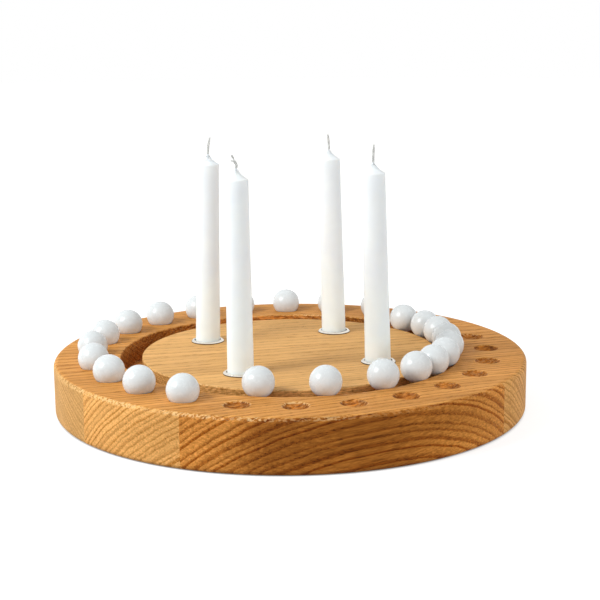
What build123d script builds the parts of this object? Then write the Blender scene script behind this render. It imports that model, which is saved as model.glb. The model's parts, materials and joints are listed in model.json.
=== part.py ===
from build123d import *
import math
import os

# Advent candle holder: a round oak plate, glued up from staves, with a dimple for each day of
# advent, a channel for the day balls, and four candles in metal cups.
# Millimetres. Origin at the centre of the underside, +Z up, +X along the grain.

# Oak plate
plate_d = 400.0
plate_t = 44.0
plate_edge_r = 4.0
stave_w = 82.6
glue_line_y = 12.7  # the glue line nearest the middle
rim_strip_min_w = 10.0  # no stave narrower than this is left at the rim

# Day balls
ball_d = 25.5  # a 25 mm ball under its lacquer
ball_gap = 0.2  # air between a ball and its seat

# Day dimples, counted anticlockwise from +X
day_count = 24
first_filled_dimple = 3
dimple_inset = 31.7  # from the plate's edge to a dimple's centre
dimple_depth = 5.6
dimple_lip = 0.4  # depth of the chamfer round the mouth

# Ball channel: a ball rides on its two chamfered lips, clear of the floor
channel_land = 13.6  # flat wood between the dimples and the channel
channel_sink = 4.2  # how far a ball drops below the deck
channel_depth = 20.0
channel_floor_r = 2.0
channel_lip = 0.8  # depth of the chamfer along each lip
first_channel_ball = 243.3  # degrees
channel_ball_gaps = (25.8, 23.0, 10.7, 0.9, 2.0, 2.0, 1.8, 1.8, 0.2, 5.6)

# Candles: straight taper with a moulded hollow tip
candle_count = 4
candle_inset = 43.0  # from the channel's inner wall to a candle's axis
candle_len = 178.5  # foot to shoulder
candle_foot_d = 21.8
candle_shoulder_d = 19.2
candle_tip_h = 7.5
candle_tip_d = 2.8
candle_tip_hollow = 0.9  # how far the tip's flank dips inwards
candle_foot_r = 1.0
candle_shoulder_r = 0.9
lean_heading = -16.7  # degrees, the way a candle with a positive lean tips
candle_leans = (-1.3, 1.2, -0.3, -1.5)  # degrees out of true, within the play in the cup

# Wicks: run the whole candle, then bend as (sideways, up) past the straight lead
wick_d = 1.8
wick_fit = 0.05
wick_lead = 1.5
wick_bends = (
    ((0.15, 4.2), (-0.5, 13.0)),
    ((0.2, 5.5), (1.05, 11.3), (1.8, 14.0)),
    ((0.7, 1.6), (-0.4, 4.4), (-3.6, 9.6)),
    ((0.3, 7.6), (1.0, 13.7)),
)

# Candle cups
candle_fit = 0.6  # play round the candle's foot
candle_foot_gap = 0.1  # air under the lowest edge of a leaning candle
cup_depth = 22.0
cup_wall = 0.6
cup_flange_w = 2.25
cup_rim_t = 0.7
cup_dome_h = 1.9
cup_dome_bulge = 0.25
cup_mouth_r = 0.7
cup_heel_r = 2.0
cup_press_gap = 0.05
cup_floor_gap = 0.5  # air under the cup in its socket

# Worked out from the sizes above
tiny = 1e-4
plate_r = plate_d / 2
ball_r = ball_d / 2
seat_r = ball_r + ball_gap
day_pitch = 360.0 / day_count
dimple_circle_r = plate_r - dimple_inset
dimple_ball_z = plate_t - dimple_depth + seat_r
dimple_mouth_r = math.sqrt(seat_r**2 - (seat_r - dimple_depth) ** 2)
channel_ball_z = plate_t + ball_r - channel_sink
channel_w = 2 * (math.sqrt(2) * seat_r - (ball_r - channel_sink) - channel_lip)
channel_outer_r = dimple_circle_r - dimple_mouth_r - channel_land
channel_inner_r = channel_outer_r - channel_w
channel_mid_r = (channel_outer_r + channel_inner_r) / 2
candle_circle_r = channel_inner_r - candle_inset
cup_bore_r = candle_foot_d / 2 + candle_fit
cup_wall_r = cup_bore_r + cup_wall
cup_flange_r = cup_wall_r + cup_flange_w
candle_tip_z = candle_len + candle_tip_h


def polar(radius, degrees, z):
    """Place at a radius and an angle round the plate's axis."""
    turn = math.radians(degrees)
    return Pos(radius * math.cos(turn), radius * math.sin(turn), z)


def rims(body, radius, z):
    """Circular edges of a body at a radius and a height."""
    circles = body.edges().filter_by(GeomType.CIRCLE)
    return [c for c in circles if abs(c.radius - radius) < tiny and abs(c.arc_center.Z - z) < tiny]


def revolved(outline):
    """Solid of revolution about Z from an outline drawn as (radius, height)."""
    return revolve(Plane.XZ * make_face(outline), Axis.Z)


def candle_angle(index):
    return 360.0 / candle_count * (index + 0.5)


def glue_lines():
    """Places along Y, across the grain, where one stave meets the next."""
    reach = plate_r - rim_strip_min_w
    first = math.ceil((-reach - glue_line_y) / stave_w)
    last = math.floor((reach - glue_line_y) / stave_w)
    return [glue_line_y + k * stave_w for k in range(first, last + 1)]


def channel_ball_angles():
    """Ball places along the channel, each one gap on from the ball before it."""
    angles = [first_channel_ball]
    for gap in channel_ball_gaps:
        half_step = math.asin((ball_d + gap) / 2 / channel_mid_r)
        angles.append(angles[-1] + math.degrees(2 * half_step))
    return angles


def turned_plate():
    """Round plate turned in one piece: rounded rim, deck and ball channel."""
    floor_z = plate_t - channel_depth
    section = make_face(
        Polyline(
            (0, 0),
            (plate_r, 0),
            (plate_r, plate_t),
            (channel_outer_r + channel_lip, plate_t),
            (channel_outer_r, plate_t - channel_lip),
            (channel_outer_r, floor_z),
            (channel_inner_r, floor_z),
            (channel_inner_r, plate_t - channel_lip),
            (channel_inner_r - channel_lip, plate_t),
            (0, plate_t),
            close=True,
        )
    )
    rim = [v for v in section.vertices() if abs(v.X - plate_r) < tiny]
    section = fillet(rim, plate_edge_r)
    floor = [v for v in section.vertices() if abs(v.Y - floor_z) < tiny]
    section = fillet(floor, channel_floor_r)
    return revolve(Plane.XZ * section, Axis.Z)


def dimple_cutter():
    """Spherical seat for a ball with a chamfered mouth. Its zero height is the deck."""
    seat_edge_r = math.sqrt(seat_r**2 - (seat_r - dimple_depth + dimple_lip) ** 2)
    over_r = 2 * (dimple_mouth_r + dimple_lip) - seat_edge_r
    bottom = (0, -dimple_depth)
    seat_edge = (seat_edge_r, -dimple_lip)
    outline = RadiusArc(bottom, seat_edge, -seat_r)
    outline += Polyline(seat_edge, (over_r, dimple_lip), (0, dimple_lip), bottom)
    return revolved(outline)


def milled_plate():
    """The whole plate with its dimples and candle sockets milled in."""
    plate = turned_plate()
    dimple = dimple_cutter()
    plate -= [polar(dimple_circle_r, day * day_pitch, plate_t) * dimple for day in range(day_count)]
    socket_depth = cup_depth + cup_wall + cup_floor_gap
    for index in range(candle_count):
        place = polar(candle_circle_r, candle_angle(index), plate_t - socket_depth / 2)
        plate -= place * Cylinder(cup_wall_r + cup_press_gap, socket_depth)
    return plate


def oak_staves():
    """The plate sawn along its glue lines, from the front stave to the back one."""
    plate = milled_plate()
    edges = [-plate_r, *glue_lines(), plate_r]
    staves = []
    for low, high in zip(edges, edges[1:]):
        slab = Box(plate_d, high - low, plate_t, align=(Align.CENTER, Align.MIN, Align.MIN))
        staves.append(plate & (Pos(0, low, 0) * slab))
    return staves


def candle_cup():
    """Drawn metal cup with a low domed flange. Its zero height is the deck."""
    base_z = -cup_depth - cup_wall
    dome_r = cup_bore_r + cup_mouth_r
    outline = Polyline(
        (0, -cup_depth),
        (0, base_z),
        (cup_wall_r, base_z),
        (cup_wall_r, 0),
        (cup_flange_r, 0),
        (cup_flange_r, cup_rim_t),
    )
    outline += SagittaArc((cup_flange_r, cup_rim_t), (dome_r, cup_dome_h), -cup_dome_bulge)
    mouth_z = cup_dome_h - cup_mouth_r
    outline += RadiusArc((dome_r, cup_dome_h), (cup_bore_r, mouth_z), -cup_mouth_r)
    outline += Polyline((cup_bore_r, mouth_z), (cup_bore_r, -cup_depth), (0, -cup_depth))
    cup = revolved(outline)
    return fillet(rims(cup, cup_wall_r, base_z), cup_heel_r)


def candle():
    """Taper candle with its foot at zero height and a hole for the wick right through."""
    hole_r = wick_d / 2 + wick_fit
    shoulder = (candle_shoulder_d / 2, candle_len)
    tip = (candle_tip_d / 2, candle_tip_z)
    outline = Polyline((hole_r, candle_tip_z), (hole_r, 0), (candle_foot_d / 2, 0), shoulder)
    outline += SagittaArc(shoulder, tip, candle_tip_hollow)
    outline += Line(tip, (hole_r, candle_tip_z))
    body = revolved(outline)
    body = fillet(rims(body, candle_foot_d / 2, 0), candle_foot_r)
    return fillet(rims(body, candle_shoulder_d / 2, candle_len), candle_shoulder_r)


def wick(bends):
    """Wick from the candle's foot to its free end, bent in the XZ plane above the tip."""
    lead_z = candle_tip_z + wick_lead
    points = [Vector(0, 0, 0), Vector(0, 0, lead_z)]
    points += [Vector(side, 0, lead_z + up) for side, up in bends]
    radii = []
    run_in = wick_lead
    for before, corner, after in zip(points, points[1:], points[2:]):
        run_out = (after - corner).length
        turn = math.radians((corner - before).get_angle(after - corner))
        radii.append(0.45 * min(run_in, run_out) / math.tan(turn / 2))
        run_in = run_out
    path = FilletPolyline(*points, radius=radii)
    return sweep(Circle(wick_d / 2), path=path)


def candle_place(index):
    """Where a candle stands: leaning about the middle of its cup, one edge of its foot down."""
    lean = candle_leans[index]
    lift = candle_foot_d / 2 * math.sin(math.radians(abs(lean))) + candle_foot_gap
    cup_middle = polar(candle_circle_r, candle_angle(index), plate_t - cup_depth / 2)
    return cup_middle * Rot(0, 0, lean_heading) * Rot(0, lean, 0) * Pos(0, 0, lift - cup_depth / 2)


def day_balls():
    """Balls in the dimples first, then those in the channel."""
    channel_angles = channel_ball_angles()
    in_dimples = day_count - len(channel_angles)
    places = []
    for step in range(in_dimples):
        places.append(polar(dimple_circle_r, (first_filled_dimple + step) * day_pitch, dimple_ball_z))
    for angle in channel_angles:
        places.append(polar(channel_mid_r, angle, channel_ball_z))
    return [place * Sphere(ball_r) for place in places]


def assembly():
    """Every piece of the holder by name."""
    pieces = {}
    for number, stave in enumerate(oak_staves(), 1):
        pieces[f"oak_stave_{number}"] = stave
    cup = candle_cup()
    body = candle()
    for index in range(candle_count):
        pieces[f"candle_cup_{index + 1}"] = polar(candle_circle_r, candle_angle(index), plate_t) * cup
        place = candle_place(index)
        pieces[f"candle_{index + 1}"] = place * body
        pieces[f"wick_{index + 1}"] = place * wick(wick_bends[index])
    for number, ball in enumerate(day_balls(), 1):
        pieces[f"day_ball_{number:02d}"] = ball
    return pieces


os.makedirs("parts", exist_ok=True)
for name, piece in assembly().items():
    export_step(piece, f"parts/{name}.step")
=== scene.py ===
import json
import math
import random

import bmesh
import bpy
from bpy.props import FloatProperty, FloatVectorProperty, PointerProperty
from mathutils import Matrix, Vector


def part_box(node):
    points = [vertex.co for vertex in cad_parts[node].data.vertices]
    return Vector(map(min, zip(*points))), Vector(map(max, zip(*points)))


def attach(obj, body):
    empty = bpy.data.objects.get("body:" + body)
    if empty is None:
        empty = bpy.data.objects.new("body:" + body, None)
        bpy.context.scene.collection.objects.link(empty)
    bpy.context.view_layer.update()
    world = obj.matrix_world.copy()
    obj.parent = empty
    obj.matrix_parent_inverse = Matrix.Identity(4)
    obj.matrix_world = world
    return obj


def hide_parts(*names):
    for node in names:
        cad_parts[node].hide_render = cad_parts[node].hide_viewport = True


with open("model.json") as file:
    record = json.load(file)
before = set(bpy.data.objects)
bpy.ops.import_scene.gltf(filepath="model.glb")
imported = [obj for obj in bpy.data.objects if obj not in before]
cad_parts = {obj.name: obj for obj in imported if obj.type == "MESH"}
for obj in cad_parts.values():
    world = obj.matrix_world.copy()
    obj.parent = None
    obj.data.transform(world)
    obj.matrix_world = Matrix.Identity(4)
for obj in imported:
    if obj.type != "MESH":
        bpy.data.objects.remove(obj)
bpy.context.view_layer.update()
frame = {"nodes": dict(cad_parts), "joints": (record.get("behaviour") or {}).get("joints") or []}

bl_info = {
    "name": "Advent Candle Holder",
    "version": (1, 0, 0),
    "blender": (4, 5, 0),
    "location": "3D View > Sidebar > Holder",
    "description": "Dresses an oak advent candle holder: plate, cups, candles, wicks and day balls",
    "category": "Object",
}

UP = Vector((0, 0, 1))

# A millimetre in the frame's metres
MM = 0.001

# The deck's height and the plate's radius, read from the frame
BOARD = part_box("oak_stave_3")
DECK = BOARD[1].z
PLATE_R = BOARD[1].x

# Numbers that the candles share with their cups and wicks
CANDLES = range(1, 5)

# Growth rings of each stave, front to back: which way they face in the YZ plane, how far off the
# pith lies in metres, the width of a year in millimetres and how much the grain rises along X. Then
# the look of its rim: how deep and how bright the colour is, what share of that brightness is left at
# the +X end, how much darker it is about the middle, which is heartwood and, on the front stave, also
# painted shade where little light reaches the rim, and how bold the rings are.
STAVES = (
    dict(face=43.6, pith=0.45, year=4.7, rise=0.12, depth=1.12, bright=0.95, far=1.0, heart_and_shade=0.33, bold=1.0),
    dict(face=46.5, pith=0.60, year=3.9, rise=0.02, depth=0.85, bright=1.04, far=0.86, heart_and_shade=0.1, bold=0.85),
    dict(face=116.0, pith=0.40, year=3.6, rise=0.0, depth=0.72, bright=0.7, far=1.0, heart_and_shade=0.1, bold=0.5),
    dict(face=63.0, pith=0.35, year=4.2, rise=-0.03, depth=0.85, bright=0.9, far=1.0, heart_and_shade=0.15, bold=0.6),
    dict(face=128.0, pith=0.50, year=3.7, rise=0.03, depth=0.85, bright=0.9, far=1.0, heart_and_shade=0.1, bold=0.6),
    dict(face=50.0, pith=0.30, year=4.4, rise=0.0, depth=0.9, bright=0.9, far=1.0, heart_and_shade=0.1, bold=0.8),
)

# Where the rim's darker middle, heartwood and painted shade, comes in and goes out again along X,
# and where the +X end begins, in metres
HEART_AND_SHADE_REACH = (-0.105, -0.07, 0.0, 0.13)
FAR_REACH = (0.1, 0.14)

# Spacing of the cutter's marks in the channel, and how much lighter or darker the wood is where the
# plate is cut. The darkening in the channel is painted shade, and in the dimples it is partly the milled
# wood and partly painted shade.
CUTTER_FEED = 1.7 * MM
CUT_LEVELS = {
    "Dimple": -0.15, "Channel Shade": -0.12, "End Grain": -0.35, "Chatter": 0.35, "Nicks": 0.25, "Pits": -0.4,
}

# Free end of each wick past its straight lead, as (sideways, up) in millimetres. Then its fray: how far
# the last strand stands off at the end, over what length the strands part, and how much sooner the last
# one ends.
WICK_BENDS = (
    ((0.15, 4.2), (-0.5, 13.0)),
    ((0.2, 5.5), (1.05, 11.3), (1.8, 14.0)),
    ((0.7, 1.6), (-0.4, 4.4), (-3.6, 9.6)),
    ((0.3, 7.6), (1.0, 13.7)),
)
WICK_FRAYS = ((0.25, 4.0, 0.0), (0.35, 4.0, 0.0), (5.5, 8.0, 3.4), (0.3, 4.0, 0.0))

# Plait of the wicks, in millimetres: the step between points along a strand, and how far a strand
# swings sideways and through the thickness. Then each strand's share of the fray, and how slim the
# plait is inside the wax.
PLAIT_STEP = 0.4
PLAIT_SWING = 0.52
PLAIT_LIFT = 0.22
FRAY_SHARES = (-0.15, 0.0, 1.0)
WAXED_GIRTH = 0.8

# Fibres that have come loose at a wick's end: how many there are, over how many of the last points they
# start, and, in millimetres, how far they reach and their radii from root to tip
FIBRE_COUNT = 9
FIBRE_ROOTS = 8
FIBRE_REACH = (0.8, 1.8)
FIBRE_RADII = (0.09, 0.07, 0.03)

# Soft lights: how far off they are, and for each one its bearing from the holder as (image right, away
# from the camera, up), its level, its size and whether glossy pieces mirror it. Lengths are in metres.
SOFTBOX_DISTANCE = 1.7
SOFTBOXES = (
    dict(name="key_softbox", bearing=(-0.86, -0.46, 0.76), level=0.84, size=0.7, mirrored=True),
    dict(name="left_softbox", bearing=(-0.9, 0.2, 0.25), level=0.3, size=1.2, mirrored=False),
    dict(name="top_softbox", bearing=(0.0, 0.6, 0.8), level=0.26, size=1.4, mirrored=False),
    dict(name="right_softbox", bearing=(0.9, -0.4, 0.28), level=0.5, size=1.0, mirrored=False),
    dict(name="front_softbox", bearing=(-0.2, -0.9, 0.3), level=0.16, size=1.2, mirrored=False),
)

# Floor, in metres: its radius, how far it lies below the plate, and where its shade about the holder
# fades out
FLOOR_R = 6.0
FLOOR_DROP = 0.15 * MM
FLOOR_FADE = (0.25, 0.9)


class OakSettings(bpy.types.PropertyGroup):
    """Oiled oak of the plate."""

    late: FloatVectorProperty(
        name="Latewood", description="Pale, dense part of a year's growth", subtype="COLOR",
        default=(0.78, 0.345, 0.085), min=0, max=1)
    early: FloatVectorProperty(
        name="Earlywood", description="Dark, open part of a year's growth", subtype="COLOR",
        default=(0.455, 0.14, 0.014), min=0, max=1)
    # Colour of the torn fibres and of the painted highlight along the plate's edges
    torn_and_highlight: FloatVectorProperty(
        name="Torn Fibres", description="Dry fibres along a milled lip", subtype="COLOR",
        default=(0.88, 0.58, 0.27), min=0, max=1)
    wander: FloatProperty(
        name="Wander", description="How far a growth ring strays from a circle", unit="LENGTH",
        default=3 * MM)
    deck_contrast: FloatProperty(
        name="Deck Contrast", description="Strength of the rings inside the channel", subtype="FACTOR",
        default=0.36, min=0, max=1)
    ring_contrast: FloatProperty(
        name="Ring Contrast", description="Strength of the rings outside the channel", subtype="FACTOR",
        default=0.55, min=0, max=1)
    deck_depth: FloatProperty(
        name="Deck Depth", description="Depth of colour of the deck inside the channel", default=0.72)
    ring_depth: FloatProperty(
        name="Ring Depth", description="Depth of colour of the deck outside the channel", default=0.95)
    deck_bright: FloatProperty(
        name="Deck Brightness", description="Brightness of the deck and of all that is cut into it",
        default=0.87)
    gloss: FloatProperty(
        name="Roughness", description="Roughness of the oiled surface", subtype="FACTOR",
        default=0.58, min=0, max=1)


class WaxSettings(bpy.types.PropertyGroup):
    """White wax of the candles."""

    colour: FloatVectorProperty(
        name="Wax", description="Colour of the wax", subtype="COLOR",
        default=(0.88, 0.905, 0.94), min=0, max=1)
    # Cool tint at the foot of each candle, painted to cancel the warm light that the oak throws onto the wax
    foot: FloatVectorProperty(
        name="Foot", description="Colour of the wax at the foot of a candle", subtype="COLOR",
        default=(0.865, 0.93, 1.0), min=0, max=1)
    cool_tint_height: FloatProperty(
        name="Foot Height", description="Height above the deck at which the foot's colour ends",
        unit="LENGTH", default=90 * MM)
    depth: FloatProperty(
        name="Glow Depth", description="How far light travels inside the wax", unit="LENGTH",
        default=7 * MM)


class BallSettings(bpy.types.PropertyGroup):
    """White lacquer of the day balls."""

    colour: FloatVectorProperty(
        name="Lacquer", description="Colour of the lacquer", subtype="COLOR",
        default=(0.71, 0.725, 0.735), min=0, max=1)
    ripple: FloatProperty(
        name="Ripple", description="Depth of the sprayed lacquer's ripple", unit="LENGTH",
        default=0.03 * MM)


class CupSettings(bpy.types.PropertyGroup):
    """Plated metal of the candle cups."""

    colour: FloatVectorProperty(
        name="Plating", description="Colour of the plating", subtype="COLOR",
        default=(0.86, 0.82, 0.74), min=0, max=1)


class WickSettings(bpy.types.PropertyGroup):
    """Plaited cotton of the wicks."""

    colour: FloatVectorProperty(
        name="Cotton", description="Colour of the bare cotton", subtype="COLOR",
        default=(0.73, 0.72, 0.7), min=0, max=1)
    strand: FloatProperty(
        name="Strand Radius", description="Radius of one strand of the plait", unit="LENGTH",
        default=0.62 * MM)
    pitch: FloatProperty(
        name="Plait Pitch", description="Length of one full turn of the plait", unit="LENGTH",
        default=4.2 * MM)
    waxed: FloatProperty(
        name="Waxed Length", description="How far wax has crept up the wick", unit="LENGTH",
        default=1.4 * MM)
    lead: FloatProperty(
        name="Straight Lead", description="Straight wick above the wax", unit="LENGTH",
        default=1.5 * MM)
    heading: FloatProperty(
        name="Bend Heading", description="Plan direction in which the wicks bend", subtype="ANGLE",
        default=math.radians(-16.7))


class StageSettings(bpy.types.PropertyGroup):
    """Camera, floor and light."""

    camera_place: FloatVectorProperty(
        name="Camera", description="Where the camera stands", subtype="TRANSLATION", unit="LENGTH",
        default=(-0.3188, -1.0944, 0.3257))
    heading: FloatProperty(
        name="Heading", description="Plan direction of view", subtype="ANGLE",
        default=math.radians(73.32))
    pitch: FloatProperty(
        name="Pitch", description="How far the camera looks down", subtype="ANGLE",
        default=math.radians(11.754))
    roll: FloatProperty(
        name="Roll", description="Turn of the camera about its line of sight", subtype="ANGLE",
        default=math.radians(-0.5073))
    lens: FloatProperty(
        name="Lens", description="Focal length in millimetres on a 36 mm sensor", default=82.14)
    lamp_colour: FloatVectorProperty(
        name="Lamps", description="Colour of the soft lights", subtype="COLOR",
        default=(0.93, 0.985, 1.0), min=0, max=1)
    ambient: FloatProperty(
        name="Ambient", description="Even light from all round", default=0.21, min=0, max=2)
    ambient_colour: FloatVectorProperty(
        name="Ambient Colour", description="Colour of the even light", subtype="COLOR",
        default=(1.0, 0.94, 0.86), min=0, max=1)
    floor_grey: FloatProperty(
        name="Floor", description="How much light the floor throws back", subtype="FACTOR",
        default=0.35, min=0, max=1)


def plan_direction(angle):
    """Level direction at an angle from +X."""
    return Vector((math.cos(angle), math.sin(angle), 0))


def points_of(name):
    """Points of a CAD node's mesh."""
    return [v.co for v in frame["nodes"][name].data.vertices]


def middle_of(points):
    """Middle of the box round some points."""
    return Vector([(min(p[k] for p in points) + max(p[k] for p in points)) / 2 for k in range(3)])


def put(tree, kind, sockets=None, **props):
    """New node with its properties set, and each named or numbered input linked or given a value."""
    made = tree.nodes.new(kind)
    for key, value in props.items():
        setattr(made, key, value)
    for key, value in (sockets or {}).items():
        if isinstance(value, bpy.types.NodeSocket):
            tree.links.new(value, made.inputs[key])
        else:
            made.inputs[key].default_value = value
    return made


def calc(tree, operation, *values):
    """Math node on sockets or numbers."""
    return put(tree, "ShaderNodeMath", dict(enumerate(values)), operation=operation).outputs[0]


def vector_calc(tree, operation, *values):
    """Vector Math node that puts out a vector."""
    return put(tree, "ShaderNodeVectorMath", dict(enumerate(values)), operation=operation).outputs[0]


def vector_measure(tree, operation, *values):
    """Vector Math node that puts out a number."""
    made = put(tree, "ShaderNodeVectorMath", dict(enumerate(values)), operation=operation)
    return made.outputs["Value"]


def split(tree, vector):
    """X, Y and Z of a vector."""
    return put(tree, "ShaderNodeSeparateXYZ", {0: vector}).outputs


def join(tree, *parts):
    """Vector of three numbers."""
    return put(tree, "ShaderNodeCombineXYZ", dict(enumerate(parts))).outputs[0]


def soft_step(tree, value, low, high, start=0.0, end=1.0):
    """Smooth change from start to end while a value goes from low to high."""
    sockets = {"Value": value, "From Min": low, "From Max": high, "To Min": start, "To Max": end}
    return put(tree, "ShaderNodeMapRange", sockets, interpolation_type="SMOOTHSTEP").outputs[0]


def by_mask(tree, mask, off, on):
    """Value that goes from off to on as a mask comes in."""
    return soft_step(tree, mask, 0.0, 1.0, off, on)


def vary(tree, cloud, start, end):
    """Noise, which keeps near a half, spread out from start to end."""
    return soft_step(tree, cloud, 0.3, 0.7, start, end)


def band(tree, value, start, full, fade, end):
    """Mask that comes in between the first two values and goes out between the last two."""
    going = soft_step(tree, value, fade, end, 1.0, 0.0)
    return calc(tree, "MULTIPLY", soft_step(tree, value, start, full), going)


def outside(tree, mask):
    """Mask of what another mask leaves."""
    return calc(tree, "SUBTRACT", 1.0, mask)


def scaled(tree, level, mask, change):
    """Level raised or lowered by a share of itself where a mask is on."""
    return calc(tree, "MULTIPLY", level, calc(tree, "MULTIPLY_ADD", mask, change, 1.0))


def noise(tree, place, scale, detail=2.0, roughness=0.5):
    """Smooth noise at a place."""
    sockets = {"Vector": place, "Scale": scale, "Detail": detail, "Roughness": roughness}
    return put(tree, "ShaderNodeTexNoise", sockets).outputs[0]


def drawn_noise(tree, place, scales, detail=2.0, roughness=0.5):
    """Noise with a scale of its own along each axis."""
    return noise(tree, vector_calc(tree, "MULTIPLY", place, scales), 1.0, detail, roughness)


def line_noise(tree, along, scale, detail=2.0):
    """Noise along one measure."""
    sockets = {"W": along, "Scale": scale, "Detail": detail}
    return put(tree, "ShaderNodeTexNoise", sockets, noise_dimensions="1D").outputs[0]


def colour(value):
    """Colour with the full alpha that a socket wants."""
    return (*value, 1.0)


def blend(tree, amount, first, second, mode="MIX"):
    """Mix of two colours."""
    sockets = {0: amount, 6: first, 7: second}
    return put(tree, "ShaderNodeMix", sockets, data_type="RGBA", blend_type=mode).outputs[2]


def shaded(tree, base, level):
    """Colour made lighter or darker by a level."""
    grey = put(tree, "ShaderNodeCombineColor", {0: level, 1: level, 2: level}).outputs[0]
    return blend(tree, 1.0, base, grey, "MULTIPLY")


def new_group(name, vectors, numbers):
    """Shader node group with its inputs, as (tree, what comes in)."""
    tree = bpy.data.node_groups.new(name, "ShaderNodeTree")
    for label in vectors:
        tree.interface.new_socket(label, in_out="INPUT", socket_type="NodeSocketVector")
    for label in numbers:
        tree.interface.new_socket(label, in_out="INPUT", socket_type="NodeSocketFloat")
    return tree, tree.nodes.new("NodeGroupInput").outputs


def give(tree, values):
    """Puts named values out of a group."""
    for label in values:
        tree.interface.new_socket(label, in_out="OUTPUT", socket_type="NodeSocketFloat")
    put(tree, "NodeGroupOutput", values)


def use_group(tree, group, sockets):
    """Outputs of a group placed in a tree with its inputs linked or set."""
    return put(tree, "ShaderNodeGroup", sockets, node_tree=group).outputs


def growth_rings():
    """Yearly growth about a pith that runs along X: earlywood mask and a tone for each year."""
    tree, takes = new_group("growth_rings", ("Place", "Pith"), ("Year", "Wander", "Seed"))
    drawn = vector_calc(tree, "MULTIPLY", takes["Place"], (0.16, 1.0, 1.0))
    drawn = vector_calc(tree, "ADD", drawn, join(tree, takes["Seed"], takes["Seed"], 0.0))
    stray = calc(tree, "SUBTRACT", noise(tree, drawn, 15.0, 1.5), 0.5)
    fine = calc(tree, "SUBTRACT", noise(tree, drawn, 90.0, 2.0), 0.5)
    across = vector_calc(tree, "MULTIPLY", takes["Place"], (0.0, 1.0, 1.0))
    radius = vector_measure(tree, "LENGTH", vector_calc(tree, "SUBTRACT", across, takes["Pith"]))
    radius = calc(tree, "MULTIPLY_ADD", stray, calc(tree, "MULTIPLY", takes["Wander"], 2.0), radius)
    radius = calc(tree, "MULTIPLY_ADD", fine, calc(tree, "MULTIPLY", takes["Year"], 0.6), radius)
    years = calc(tree, "DIVIDE", radius, takes["Year"])
    years = calc(tree, "MULTIPLY_ADD", line_noise(tree, years, 0.55, 1.0), 1.1, years)
    number = calc(tree, "FLOOR", calc(tree, "ADD", years, calc(tree, "MULTIPLY", takes["Seed"], 10.0)))
    tone = put(tree, "ShaderNodeTexWhiteNoise", {"W": number}, noise_dimensions="1D").outputs[0]
    # A year starts with its dark earlywood, which fades slowly into latewood
    earlywood = band(tree, calc(tree, "FRACT", years), 0.0, 0.08, 0.19, 0.6)
    give(tree, {"Earlywood": earlywood, "Year Tone": tone})
    return tree


def oak_fibre():
    """Fibres, flecks, pores and broad figure of oak with its grain along X."""
    tree, takes = new_group("oak_fibre", ("Place",), ("Seed",))
    place = vector_calc(tree, "ADD", takes["Place"], join(tree, takes["Seed"], 0.0, takes["Seed"]))
    pores = drawn_noise(tree, place, (120.0, 2100.0, 2100.0), 1.0)
    give(tree, {
        "Fibre": drawn_noise(tree, place, (12.0, 700.0, 700.0), 3.0, 0.65),
        "Fleck": drawn_noise(tree, place, (70.0, 760.0, 760.0), 2.0, 0.6),
        "Pores": soft_step(tree, pores, 0.55, 0.66),
        "Figure": drawn_noise(tree, place, (2.2, 30.0, 30.0)),
    })
    return tree


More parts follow.
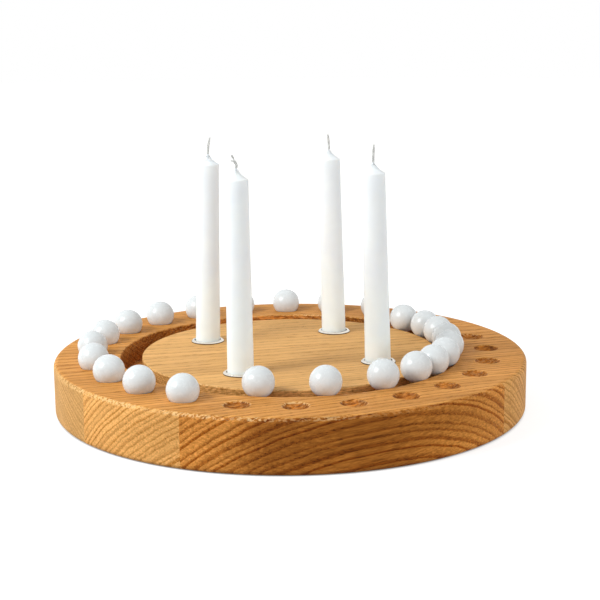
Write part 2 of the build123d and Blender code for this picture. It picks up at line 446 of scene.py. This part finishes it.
def plate_cuts():
    """Where a spot on the plate lies: sanded face, milled hollow with its painted shade, tool marks, torn or
    pitted edge with a painted highlight.
    """
    tree, takes = new_group("plate_cuts", ("Place", "Normal"), ())
    place = takes["Place"]
    toward_x, _, facing = split(tree, takes["Normal"])
    x, y, height = split(tree, place)
    flat = vector_calc(tree, "MULTIPLY", place, (1, 1, 0))
    reach = vector_measure(tree, "LENGTH", flat)
    rim = soft_step(tree, reach, PLATE_R - 9 * MM, PLATE_R - 7 * MM)
    level = soft_step(tree, calc(tree, "ABSOLUTE", facing), 0.75, 0.95)

    # Hollows: all that is sunk below the deck, and the channel's walls among it, which get painted shade,
    # most on the wall that faces the centre
    sunk = band(tree, height, 1 * MM, 2 * MM, DECK - 0.9 * MM, DECK - 0.2 * MM)
    milled = calc(tree, "MULTIPLY", sunk, outside(tree, rim))
    channel = middle_of(points_of("day_ball_14")).xy.length
    ring = band(tree, reach, channel - 17 * MM, channel - 13 * MM, channel + 13 * MM, channel + 17 * MM)
    wall = calc(tree, "MULTIPLY", milled, ring)
    outward = vector_measure(tree, "DOT_PRODUCT", vector_calc(tree, "NORMALIZE", flat), takes["Normal"])
    # Painted shade in the channel: most on the wall that faces the centre, less on the floor, least on the
    # wall that faces out
    channel_shade = calc(tree, "MULTIPLY", wall, soft_step(tree, outward, -0.3, 0.7, 1.0, 0.3))

    # Marks in the hollows: rings left by the cutter, strokes along the grain, open end grain
    feed = calc(tree, "SINE", calc(tree, "MULTIPLY", height, math.tau / CUTTER_FEED))
    marks = calc(tree, "MULTIPLY_ADD", noise(tree, place, 900.0, 1.0), 2.0, feed)
    strokes = drawn_noise(tree, place, (150.0, 520.0, 520.0), 3.0)
    strokes = soft_step(tree, strokes, 0.36, 0.62, -1.0, 1.0)
    end_grain = soft_step(tree, calc(tree, "ABSOLUTE", toward_x), 0.15, 0.7)

    # Edges: torn pale fibres together with a painted highlight, most on the front-left quarter of the plate,
    # which faces the key light, and on the quarter opposite it, and small pits
    chips = drawn_noise(tree, place, (360.0, 620.0, 620.0), 3.0, 0.6)
    rim_edge = calc(tree, "MULTIPLY", rim, soft_step(tree, height, DECK - 4.2 * MM, DECK - 2.2 * MM))
    lip = soft_step(tree, height, DECK - 1.6 * MM, DECK - 0.6 * MM)
    edge = calc(tree, "MAXIMUM", rim_edge, lip)
    edge = calc(tree, "MULTIPLY", edge, band(tree, facing, 0.1, 0.4, 0.86, 0.98))
    quarter = calc(tree, "DIVIDE", calc(tree, "MULTIPLY", x, y), calc(tree, "POWER", reach, 2.0))
    torn_and_highlight = calc(tree, "MULTIPLY", edge, soft_step(tree, quarter, -0.1, 0.35, 0.15, 1.0))
    torn_and_highlight = calc(tree, "MULTIPLY_ADD", milled, 0.2, torn_and_highlight)
    torn_and_highlight = calc(tree, "MULTIPLY", torn_and_highlight, soft_step(tree, noise(tree, flat, 22.0, 1.0), 0.35, 0.6, 0.35, 1.0))

    give(tree, {
        "Face": calc(tree, "MAXIMUM", level, outside(tree, rim)),
        "Outer": soft_step(tree, reach, channel - 7 * MM, channel + 11 * MM),
        # Darker dimples: partly the milled wood, partly painted shade in the hollow
        "Dimple": calc(tree, "MULTIPLY", milled, outside(tree, ring)),
        "Channel Shade": channel_shade,
        "Chatter": calc(tree, "MULTIPLY", wall, soft_step(tree, marks, 0.4, 1.6)),
        "Nicks": calc(tree, "MULTIPLY", milled, strokes),
        "End Grain": calc(tree, "MULTIPLY", milled, end_grain),
        "Torn And Highlight": calc(tree, "MULTIPLY", torn_and_highlight, soft_step(tree, chips, 0.46, 0.58)),
        "Pits": calc(tree, "MULTIPLY", edge, soft_step(tree, chips, 0.34, 0.46, 1.0, 0.0)),
    })
    return tree


def new_material(name):
    """Material with a Principled shader, as (material, tree, shader, object coordinates)."""
    material = bpy.data.materials.new(name)
    material.use_nodes = True
    tree = material.node_tree
    shader = tree.nodes["Principled BSDF"]
    place = put(tree, "ShaderNodeTexCoord").outputs["Object"]
    return material, tree, shader, place


def bumped(tree, shader, height, distance):
    """Gives a shader the relief of a height."""
    sockets = {"Height": height, "Distance": distance, "Strength": 1.0}
    tree.links.new(put(tree, "ShaderNodeBump", sockets).outputs[0], shader.inputs["Normal"])


def wear(node, material):
    """Gives a CAD node its finish."""
    node.material_slots[0].material = material


def along_grain(tree, place, rise):
    """Place measured along a grain that climbs by so much for each unit of X."""
    x, y, z = split(tree, place)
    return join(tree, x, y, calc(tree, "MULTIPLY_ADD", x, -rise, z))


def growth_colour(tree, ring, grain, cut, stave, settings):
    """Pale latewood and dark earlywood, bolder on the rim than on the deck."""
    deck = by_mask(tree, cut["Outer"], settings.deck_contrast, settings.ring_contrast)
    contrast = by_mask(tree, cut["Face"], stave["bold"], deck)
    rows = vary(tree, grain["Fibre"], 1.1, 0.8)
    rows = calc(tree, "MULTIPLY", rows, by_mask(tree, ring["Year Tone"], 0.6, 1.1))
    early = calc(tree, "MULTIPLY", calc(tree, "MULTIPLY", ring["Earlywood"], rows), contrast)
    return blend(tree, early, colour(settings.late), colour(settings.early))


def wood_level(tree, ring, grain, cut, along, stave, settings):
    """How light the wood is, from its years, fibres, flecks and broad figure."""
    level = calc(tree, "MULTIPLY_ADD", ring["Year Tone"], 0.14, 0.93)
    fine = by_mask(tree, cut["Face"], 0.14, 0.09)
    streak = vary(tree, grain["Fibre"], -1.0, 1.0)
    level = calc(tree, "MULTIPLY", level, calc(tree, "MULTIPLY_ADD", streak, fine, 0.99))
    coarse = by_mask(tree, cut["Face"], 0.16, 0.04)
    fleck = vary(tree, grain["Fleck"], -1.0, 1.0)
    level = calc(tree, "MULTIPLY", level, calc(tree, "MULTIPLY_ADD", fleck, coarse, 0.99))
    level = calc(tree, "MULTIPLY", level, soft_step(tree, grain["Figure"], 0.25, 0.75, 0.88, 1.06))
    bright = soft_step(tree, along, *FAR_REACH, stave["bright"], stave["bright"] * stave["far"])
    return calc(tree, "MULTIPLY", level, by_mask(tree, cut["Face"], bright, settings.deck_bright))


def warm_shade(tree, level):
    """Colour to multiply by, which warms as a level falls below one."""
    green = calc(tree, "POWER", level, 1.15)
    blue = calc(tree, "POWER", level, 1.5)
    return put(tree, "ShaderNodeCombineColor", {0: level, 1: green, 2: blue}).outputs[0]


def colour_depth(tree, cut, heart_and_shade, stave, settings):
    """Depth of colour: the oil's, plus painted shade in the channel and, partly, in the dimples and the
    rim's dark middle.
    """
    rim = calc(tree, "MULTIPLY_ADD", heart_and_shade, 0.1, stave["depth"])
    deck = by_mask(tree, cut["Outer"], settings.deck_depth, settings.ring_depth)
    depth = by_mask(tree, cut["Face"], rim, deck)
    # Deeper colour in the dimples, partly painted shade, and in the channel, painted shade
    depth = calc(tree, "MULTIPLY_ADD", cut["Dimple"], 0.3, depth)
    return calc(tree, "MULTIPLY_ADD", cut["Channel Shade"], 0.25, depth)


def oak_of_stave(number, stave, groups, settings):
    """Oiled oak with the growth rings of one stave."""
    material, tree, shader, place = new_material(f"oiled_oak_{number}")
    rings, fibres, cuts = groups
    low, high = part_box(f"oak_stave_{number}")
    turn = math.radians(stave["face"])
    pith = (low + high) / 2 - stave["pith"] * Vector((0, math.cos(turn), math.sin(turn)))
    grown = along_grain(tree, place, stave["rise"])
    ring = use_group(tree, rings, {
        "Place": grown, "Pith": (0, pith.y, pith.z), "Year": stave["year"] * MM,
        "Wander": settings.wander, "Seed": number * 1.7})
    grain = use_group(tree, fibres, {"Place": grown, "Seed": number * 0.9})
    normal = put(tree, "ShaderNodeNewGeometry").outputs["Normal"]
    cut = use_group(tree, cuts, {"Place": place, "Normal": normal})
    along = split(tree, place)[0]
    # Darker middle of the rim: heartwood, and on the front stave also painted shade where little light
    # reaches
    heart_and_shade = calc(tree, "MULTIPLY", band(tree, along, *HEART_AND_SHADE_REACH), outside(tree, cut["Face"]))
    pores = calc(tree, "MULTIPLY", grain["Pores"], calc(tree, "MULTIPLY_ADD", ring["Earlywood"], 0.45, 0.15))

    level = wood_level(tree, ring, grain, cut, along, stave, settings)
    level = scaled(tree, level, heart_and_shade, -stave["heart_and_shade"])
    level = scaled(tree, level, pores, -1.0)
    for label, change in CUT_LEVELS.items():
        level = scaled(tree, level, cut[label], change)
    wood = growth_colour(tree, ring, grain, cut, stave, settings)
    wood = blend(tree, 1.0, wood, warm_shade(tree, level), "MULTIPLY")
    depth = colour_depth(tree, cut, heart_and_shade, stave, settings)
    wood = put(tree, "ShaderNodeGamma", {"Color": wood, "Gamma": depth}).outputs[0]
    # Torn pale fibres, and a painted highlight along the rounded edges
    wood = blend(tree, calc(tree, "MULTIPLY", cut["Torn And Highlight"], 0.8), wood, colour(settings.torn_and_highlight))
    tree.links.new(wood, shader.inputs["Base Color"])
    shader.inputs["Specular IOR Level"].default_value = 0.12

    rough = calc(tree, "MULTIPLY_ADD", grain["Fibre"], 0.14, settings.gloss - 0.07)
    tree.links.new(calc(tree, "MULTIPLY_ADD", pores, 0.25, rough), shader.inputs["Roughness"])
    relief = calc(tree, "MULTIPLY_ADD", pores, -0.8, calc(tree, "MULTIPLY", grain["Fibre"], 0.5))
    relief = calc(tree, "MULTIPLY_ADD", ring["Earlywood"], -0.1, relief)
    relief = calc(tree, "MULTIPLY_ADD", cut["Torn And Highlight"], 0.3, relief)
    bumped(tree, shader, relief, 0.22 * MM)
    return material


def wax_finish(settings):
    """White wax with faint draw lines up its length, and a painted cool tint at its foot against the warm
    light from the oak.
    """
    material, tree, shader, place = new_material("white_wax")
    lines = drawn_noise(tree, place, (420.0, 420.0, 9.0))
    cloud = noise(tree, place, 45.0)
    # Painted cool tint from the foot up, against the warm bounce light from the oak
    rise = soft_step(tree, split(tree, place)[2], DECK, DECK + settings.cool_tint_height)
    wax = blend(tree, rise, colour(settings.foot), colour(settings.colour))
    tree.links.new(shaded(tree, wax, vary(tree, cloud, 0.965, 1.0)), shader.inputs["Base Color"])
    tree.links.new(calc(tree, "MULTIPLY_ADD", lines, 0.16, 0.34), shader.inputs["Roughness"])
    shader.inputs["Subsurface Weight"].default_value = 1.0
    shader.inputs["Subsurface Radius"].default_value = (1.0, 0.95, 0.9)
    shader.inputs["Subsurface Scale"].default_value = settings.depth
    bumped(tree, shader, calc(tree, "MULTIPLY_ADD", cloud, 0.5, lines), 0.06 * MM)
    return material


def lacquer_finish(settings):
    """White gloss lacquer over a turned wooden ball."""
    material, tree, shader, place = new_material("white_lacquer")
    ripple = noise(tree, place, 260.0)
    cloud = noise(tree, place, 70.0)
    lacquer = shaded(tree, colour(settings.colour), vary(tree, cloud, 0.96, 1.0))
    tree.links.new(lacquer, shader.inputs["Base Color"])
    tree.links.new(vary(tree, ripple, 0.2, 0.3), shader.inputs["Roughness"])
    bumped(tree, shader, calc(tree, "MULTIPLY_ADD", cloud, 2.0, ripple), settings.ripple)
    return material


def plated_finish(number, settings):
    """Plated metal with fine turning lines about one cup's axis, with painted shade where the flange meets
    the wood.
    """
    material, tree, shader, place = new_material(f"plated_cup_{number}")
    low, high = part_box(f"candle_cup_{number}")
    middle = (low + high) / 2
    flange = high.x - middle.x
    offset = (-middle.x, -middle.y, 0.0)
    centred = put(tree, "ShaderNodeMapping", {"Vector": place, "Location": offset}).outputs[0]
    reach = vector_measure(tree, "LENGTH", vector_calc(tree, "MULTIPLY", centred, (1, 1, 0)))
    lines = line_noise(tree, reach, 5200.0)
    smear = noise(tree, centred, 300.0)
    # Painted contact shade on the flange's foot, where it stands on the deck
    by_deck = soft_step(tree, split(tree, place)[2], DECK + 0.5 * MM, DECK + 0.85 * MM, 1.0, 0.0)
    edge = soft_step(tree, reach, flange - 1.75 * MM, flange - 0.95 * MM)
    painted_contact_shade = calc(tree, "MULTIPLY", by_deck, edge)
    level = scaled(tree, soft_step(tree, smear, 0.25, 0.75, 0.86, 1.0), painted_contact_shade, -0.94)
    tree.links.new(shaded(tree, colour(settings.colour), level), shader.inputs["Base Color"])
    shader.inputs["Metallic"].default_value = 1.0
    tree.links.new(vary(tree, smear, 0.06, 0.14), shader.inputs["Roughness"])
    bumped(tree, shader, lines, 0.02 * MM)
    return material


def cotton_finish(settings, wax):
    """Bleached cotton with fine twisted fibres, soaked with wax at its foot."""
    material, tree, shader, place = new_material("plaited_cotton")
    fibres = noise(tree, place, 5200.0)
    soil = noise(tree, place, 420.0)
    level = calc(tree, "MULTIPLY", vary(tree, fibres, 0.7, 1.1), vary(tree, soil, 0.8, 1.1))
    cotton = shaded(tree, colour(settings.colour), level)
    waxed = put(tree, "ShaderNodeAttribute", attribute_name="waxed").outputs["Fac"]
    tree.links.new(blend(tree, waxed, cotton, colour(wax.colour)), shader.inputs["Base Color"])
    rough = calc(tree, "MULTIPLY_ADD", waxed, -0.4, vary(tree, fibres, 0.75, 0.95))
    tree.links.new(rough, shader.inputs["Roughness"])
    bumped(tree, shader, fibres, 0.06 * MM)
    return material


def candle_line(number):
    """Foot centre, tip centre and axis of a candle, from its solid and its lift joint."""
    joint = next(j for j in frame["joints"] if j["name"] == f"candle_{number}_lift")
    axis = Vector(joint["axis"]).normalized()
    points = points_of(f"candle_{number}")
    heights = [p.dot(axis) for p in points]
    near = 0.01 * MM
    bottom = min(heights) + near
    top = max(heights) - near
    foot = [p for p, h in zip(points, heights) if h < bottom]
    tip = [p for p, h in zip(points, heights) if h > top]
    return middle_of(foot), middle_of(tip), axis


def mesh_of_curve(curve):
    """Mesh that a curve gives. The curve itself is used up."""
    holder = bpy.data.objects.new(curve.name, curve)
    mesh = bpy.data.meshes.new_from_object(holder)
    bpy.data.objects.remove(holder)
    bpy.data.curves.remove(curve)
    return mesh


def smooth_route(points):
    """Points read from the smooth spline that a few control points shape."""
    curve = bpy.data.curves.new("route", "CURVE")
    curve.dimensions = "3D"
    curve.resolution_u = 24
    spline = curve.splines.new("NURBS")
    spline.points.add(len(points) - 1)
    for target, point in zip(spline.points, points):
        target.co = (*point, 1.0)
    spline.order_u = 3
    spline.use_endpoint_u = True
    mesh = mesh_of_curve(curve)
    route = [v.co.copy() for v in mesh.vertices]
    bpy.data.meshes.remove(mesh)
    return route


def walk(route, step):
    """Places and directions at even steps along a route."""
    places = []
    left = 0.0
    for start, end in zip(route, route[1:]):
        run = (end - start).length
        while left < run:
            places.append((start.lerp(end, left / run), (end - start).normalized()))
            left += step
        left -= run
    return places


def strands_mesh(name, strands):
    """Mesh of round strands, each a list of points with a radius."""
    curve = bpy.data.curves.new(name, "CURVE")
    curve.dimensions = "3D"
    curve.bevel_depth = 1.0
    curve.bevel_resolution = 1
    curve.use_fill_caps = True
    for points in strands:
        spline = curve.splines.new("POLY")
        spline.points.add(len(points) - 1)
        for target, (place, radius) in zip(spline.points, points):
            target.co = (*place, 1.0)
            target.radius = radius
    mesh = mesh_of_curve(curve)
    mesh.name = name
    mesh.shade_smooth()
    return mesh


def plait(places, tip, axis, side, fray, settings):
    """Three strands that weave along a line of places and part towards its end."""
    spread, length, short = fray
    frayed = round(length / PLAIT_STEP)
    strands = []
    for strand, share in enumerate(FRAY_SHARES):
        drawn = []
        for count, (place, along) in enumerate(places):
            turn = math.tau * (count * PLAIT_STEP * MM / settings.pitch + strand / len(FRAY_SHARES))
            across = along.cross(side).normalized()
            level = along.cross(across).normalized()
            part = max(0, count - len(places) + frayed) / frayed
            rise = (place - tip).dot(axis)
            girth = max(WAXED_GIRTH, min(1.0, WAXED_GIRTH + (1 - WAXED_GIRTH) * rise / MM))
            woven = girth * (1 - part)
            out = PLAIT_SWING * MM * woven * math.sin(turn) + spread * MM * part**1.5 * share
            lift = PLAIT_LIFT * MM * woven * math.sin(2 * turn)
            radius = girth * settings.strand * (1 - 0.35 * part)
            drawn.append((place + out * level + lift * across, radius))
        strands.append(drawn)
    strands[-1] = strands[-1][:len(places) - round(short / PLAIT_STEP)]
    return strands


def loose_fibres(places, seed):
    """Short fine fibres that stand off the end of a line of places."""
    chance = random.Random(seed)
    along = places[-1][1]
    fibres = []
    for _ in range(FIBRE_COUNT):
        start = places[-1 - chance.randrange(FIBRE_ROOTS)][0]
        lean = Vector([chance.uniform(-1, 1) for _ in range(3)])
        reach = chance.uniform(*FIBRE_REACH) * MM
        bend = start + (0.55 * along + 0.35 * lean) * reach
        stop = bend + (0.3 * along + 0.6 * lean) * reach
        fibres.append([(place, radius * MM) for place, radius in zip((start, bend, stop), FIBRE_RADII)])
    return fibres


def plaited_wick(number, settings):
    """Three-strand plait from the candle's foot to a frayed free end."""
    foot, tip, axis = candle_line(number)
    heading = plan_direction(settings.heading)
    side = (heading - heading.dot(axis) * axis).normalized()
    lead = tip + settings.lead * axis
    points = [foot, foot.lerp(tip, 0.5), tip, lead]
    points += [lead + (across * side + up * axis) * MM for across, up in WICK_BENDS[number - 1]]
    places = walk(smooth_route(points), PLAIT_STEP * MM)
    strands = plait(places, tip, axis, side, WICK_FRAYS[number - 1], settings)
    mesh = strands_mesh(f"plaited_wick_{number}", strands + loose_fibres(places, number))
    waxed = mesh.attributes.new("waxed", "FLOAT", "POINT")
    for vertex, mark in zip(mesh.vertices, waxed.data):
        rise = (vertex.co - tip).dot(axis)
        mark.value = max(0.0, min(1.0, 1.3 - 1.3 * rise / settings.waxed))
    return mesh


class HOLDER_OT_oak_plate(bpy.types.Operator):
    """Gives each stave of the plate its own oiled oak"""

    bl_idname = "holder.oak_plate"
    bl_label = "Oak Plate"

    def execute(self, context):
        groups = growth_rings(), oak_fibre(), plate_cuts()
        settings = context.scene.holder_oak
        for number, stave in enumerate(STAVES, 1):
            material = oak_of_stave(number, stave, groups, settings)
            wear(frame["nodes"][f"oak_stave_{number}"], material)
        return {"FINISHED"}


class HOLDER_OT_candle_cups(bpy.types.Operator):
    """Plates the candle cups"""

    bl_idname = "holder.candle_cups"
    bl_label = "Candle Cups"

    def execute(self, context):
        for number in CANDLES:
            wear(frame["nodes"][f"candle_cup_{number}"], plated_finish(number, context.scene.holder_cup))
        return {"FINISHED"}


class HOLDER_OT_candles(bpy.types.Operator):
    """Gives the candles their wax"""

    bl_idname = "holder.candles"
    bl_label = "Candles"

    def execute(self, context):
        wax = wax_finish(context.scene.holder_wax)
        for number in CANDLES:
            wear(frame["nodes"][f"candle_{number}"], wax)
        return {"FINISHED"}


class HOLDER_OT_wicks(bpy.types.Operator):
    """Plaits a wick for each candle"""

    bl_idname = "holder.wicks"
    bl_label = "Wicks"

    def execute(self, context):
        settings = context.scene.holder_wick
        cotton = cotton_finish(settings, context.scene.holder_wax)
        for number in CANDLES:
            mesh = plaited_wick(number, settings)
            mesh.materials.append(cotton)
            piece = bpy.data.objects.new(f"plaited_wick_{number}", mesh)
            context.scene.collection.objects.link(piece)
            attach(piece, f"candle_{number}_body")
            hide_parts(f"wick_{number}")
        return {"FINISHED"}


class HOLDER_OT_day_balls(bpy.types.Operator):
    """Lacquers the day balls"""

    bl_idname = "holder.day_balls"
    bl_label = "Day Balls"

    def execute(self, context):
        lacquer = lacquer_finish(context.scene.holder_ball)
        for name, node in frame["nodes"].items():
            if name.startswith("day_ball"):
                wear(node, lacquer)
        return {"FINISHED"}


def seen_or_mirrored(tree):
    """1 for a ray that the camera sees, or sees in metal or through glass."""
    light = put(tree, "ShaderNodeLightPath").outputs
    seen = calc(tree, "MAXIMUM", light["Is Camera Ray"], light["Is Glossy Ray"])
    return calc(tree, "MAXIMUM", seen, light["Is Transmission Ray"])


def white_world(settings):
    """White background with a weaker even light on the object."""
    world = bpy.data.worlds.new("white_room")
    world.use_nodes = True
    tree = world.node_tree
    weak = [settings.ambient * part for part in settings.ambient_colour]
    light = blend(tree, seen_or_mirrored(tree), colour(weak), (1, 1, 1, 1))
    tree.links.new(light, tree.nodes["Background"].inputs["Color"])
    return world


def floor_finish(settings):
    """Pale floor that looks white and still takes the object's shadow, with a painted line of shade round
    the plate's foot.
    """
    material, tree, shader, place = new_material("pale_floor")
    reach = vector_measure(tree, "LENGTH", place)
    glow = soft_step(tree, reach, *FLOOR_FADE, 0.82, 1.0)
    # The glow stops just inside the plate's edge, which paints a dark line of shade where the plate meets
    # the floor
    glow = calc(tree, "MULTIPLY", glow, soft_step(tree, reach, PLATE_R - 5 * MM, PLATE_R + 1 * MM))
    grey = settings.floor_grey
    shader.inputs["Base Color"].default_value = (grey, grey, grey, 1)
    shader.inputs["Roughness"].default_value = 1.0
    shader.inputs["Specular IOR Level"].default_value = 0.0
    shader.inputs["Emission Color"].default_value = (1, 1, 1, 1)
    tree.links.new(calc(tree, "MULTIPLY", glow, seen_or_mirrored(tree)), shader.inputs["Emission Strength"])
    return material


def add_floor(context, settings):
    """Round floor under the holder."""
    shape = bmesh.new()
    bmesh.ops.create_circle(shape, cap_ends=True, segments=96, radius=FLOOR_R)
    bmesh.ops.translate(shape, verts=shape.verts, vec=(0, 0, -FLOOR_DROP))
    mesh = bpy.data.meshes.new("floor")
    shape.to_mesh(mesh)
    shape.free()
    mesh.materials.append(floor_finish(settings))
    floor = bpy.data.objects.new("floor", mesh)
    context.scene.collection.objects.link(floor)


def add_camera(context, settings):
    """Camera at the given place and heading, with its roll."""
    data = bpy.data.cameras.new("camera")
    data.sensor_width = 36
    data.lens = settings.lens
    camera = bpy.data.objects.new("camera", data)
    flat = plan_direction(settings.heading)
    forward = math.cos(settings.pitch) * flat - math.sin(settings.pitch) * UP
    right = forward.cross(UP).normalized()
    up = right.cross(forward)
    turn = Matrix((right, up, -forward)).transposed() @ Matrix.Rotation(settings.roll, 3, "Z")
    camera.matrix_world = Matrix.Translation(settings.camera_place) @ turn.to_4x4()
    context.scene.collection.objects.link(camera)
    context.scene.camera = camera


def add_softbox(context, settings, name, bearing, level, size, mirrored):
    """Square soft light that faces the middle of the deck."""
    away = plan_direction(settings.heading)
    right = away.cross(UP)
    toward = (bearing[0] * right + bearing[1] * away + bearing[2] * UP).normalized()
    data = bpy.data.lights.new(name, "AREA")
    data.shape = "SQUARE"
    data.size = size
    data.energy = math.pi**2 * SOFTBOX_DISTANCE**2 * level
    data.color = settings.lamp_colour
    lamp = bpy.data.objects.new(name, data)
    place = DECK * UP + SOFTBOX_DISTANCE * toward
    lamp.visible_glossy = mirrored
    lamp.matrix_world = Matrix.Translation(place) @ toward.to_track_quat("Z", "Y").to_matrix().to_4x4()
    context.scene.collection.objects.link(lamp)


class HOLDER_OT_stage(bpy.types.Operator):
    """Sets up the floor, the light and the camera"""

    bl_idname = "holder.stage"
    bl_label = "Stage"

    def execute(self, context):
        settings = context.scene.holder_stage
        context.scene.world = white_world(settings)
        add_floor(context, settings)
        for softbox in SOFTBOXES:
            add_softbox(context, settings, **softbox)
        add_camera(context, settings)
        context.scene.view_settings.view_transform = "Standard"
        return {"FINISHED"}


class HOLDER_PT_panel(bpy.types.Panel):
    """Buttons for each step of dressing the holder"""

    bl_idname = "HOLDER_PT_panel"
    bl_label = "Advent Candle Holder"
    bl_space_type = "VIEW_3D"
    bl_region_type = "UI"
    bl_category = "Holder"

    def draw(self, context):
        for step in STEPS:
            self.layout.operator(step.bl_idname)


STEPS = (
    HOLDER_OT_oak_plate,
    HOLDER_OT_candle_cups,
    HOLDER_OT_candles,
    HOLDER_OT_wicks,
    HOLDER_OT_day_balls,
    HOLDER_OT_stage,
)
SETTINGS = {
    "holder_oak": OakSettings,
    "holder_wax": WaxSettings,
    "holder_ball": BallSettings,
    "holder_cup": CupSettings,
    "holder_wick": WickSettings,
    "holder_stage": StageSettings,
}


def register():
    for kind in (*SETTINGS.values(), *STEPS, HOLDER_PT_panel):
        bpy.utils.register_class(kind)
    for name, kind in SETTINGS.items():
        setattr(bpy.types.Scene, name, PointerProperty(type=kind))


def unregister():
    for name in SETTINGS:
        delattr(bpy.types.Scene, name)
    for kind in (HOLDER_PT_panel, *reversed(STEPS), *reversed(SETTINGS.values())):
        bpy.utils.unregister_class(kind)


def main():
    register()
    bpy.ops.holder.oak_plate()
    bpy.ops.holder.candle_cups()
    bpy.ops.holder.candles()
    bpy.ops.holder.wicks()
    bpy.ops.holder.day_balls()
    bpy.ops.holder.stage()


if __name__ == "__main__":
    main()
